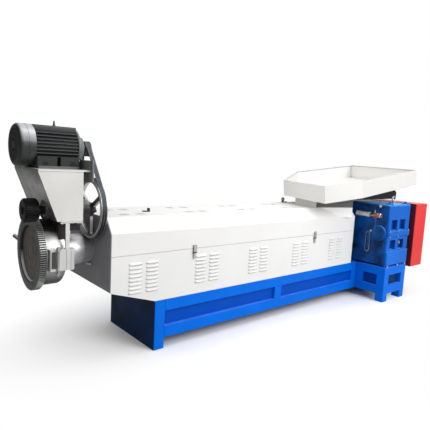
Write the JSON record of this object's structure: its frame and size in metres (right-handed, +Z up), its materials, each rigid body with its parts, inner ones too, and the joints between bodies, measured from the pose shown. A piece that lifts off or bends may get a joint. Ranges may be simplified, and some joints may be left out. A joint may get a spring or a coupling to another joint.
{
  "type": "plastic pelletizing line",
  "caption": "Screw extruder with a geared, belt-driven die head, louvred white hood on a blue steel base, side gearbox with red belt guard and a tilted feed tray",
  "frame": {"origin": "on the floor under the middle of the base's left foot, in the vertical plane of the barrel", "axes": "+X along the machine from die head to gearbox, -Y toward the operator's side with the gearbox extension, +Z up"},
  "size_m": [4.928, 1.5204, 1.7965],
  "materials": {
    "base_blue": "gloss blue enamel",
    "hood_white": "off-white enamel on sheet",
    "dark_plate": "dark grey painted plate",
    "polished_steel": "bare machined steel",
    "dark_iron": "oiled dark cast iron and steel",
    "rusty_iron": "browned bare iron",
    "motor_grey": "grey-green machine paint",
    "belt_rubber": "black fabric-covered rubber",
    "guard_red": "red enamel on sheet",
    "valve_red": "red painted valve body"
  },
  "bodies": {
    "machine": {"barrel": "polished_steel", "base_back_side": "base_blue", "base_deck": "base_blue", "base_front_side": "base_blue", "base_left_end": "base_blue", "base_right_end": "base_blue", "belt_guard": "guard_red", "clamp_back": "polished_steel", "clamp_front": "polished_steel", "die_body": "dark_iron", "die_lever": "rusty_iron", "feed_tray": "hood_white", "gearbox_base": "base_blue", "gearbox_cover": "base_blue", "gearbox_eye_bolt": "polished_steel", "gearbox_lower_housing": "base_blue", "gearbox_output_housing": "base_blue", "gearbox_upper_housing": "base_blue", "hood_end_plate": "dark_plate", "hood_latches": "polished_steel", "hood_lid": "hood_white", "hood_lower_casing": "hood_white", "hood_lug": "hood_white", "motor_end_bell": "motor_grey", "motor_eye_bolt": "polished_steel", "motor_fan_cowl": "motor_grey", "motor_stand": "polished_steel", "motor_stator": "motor_grey", "oil_cooler_tube": "polished_steel", "oil_sight_loop": "polished_steel", "oil_valve": "valve_red", "shaft_bearings": "dark_iron", "stand_saddle": "rusty_iron", "stand_strut": "polished_steel", "swing_bolts": "polished_steel", "tray_neck": "hood_white", "tray_stay": "hood_white", "tray_support": "dark_plate", "v_belts": "belt_rubber"},
    "die_gear": {"die_gear": "dark_iron"},
    "drive_shaft": {"pinion": "dark_iron", "pinion_shaft": "dark_iron", "large_pulley": "dark_iron"},
    "motor_rotor": {"motor_pulley": "dark_iron"}
  },
  "joints": [
    {"name": "gear_turn", "type": "hinge", "parent": "machine", "child": "die_gear", "pos_m": [-0.891, 0, 0.826], "axis": [1, 0, 0], "continuous": true},
    {"name": "shaft_turn", "type": "hinge", "parent": "machine", "child": "drive_shaft", "pos_m": [-0.65, -0.117, 1.15586], "axis": [1, 0, 0], "continuous": true},
    {"name": "motor_turn", "type": "hinge", "parent": "machine", "child": "motor_rotor", "pos_m": [-0.49, 0, 1.605], "axis": [1, 0, 0], "continuous": true}
  ],
  "couplings": [
    {"joint": "shaft_turn", "follows": "gear_turn", "ratio": -3.375},
    {"joint": "motor_turn", "follows": "gear_turn", "ratio": -13.5}
  ]
}
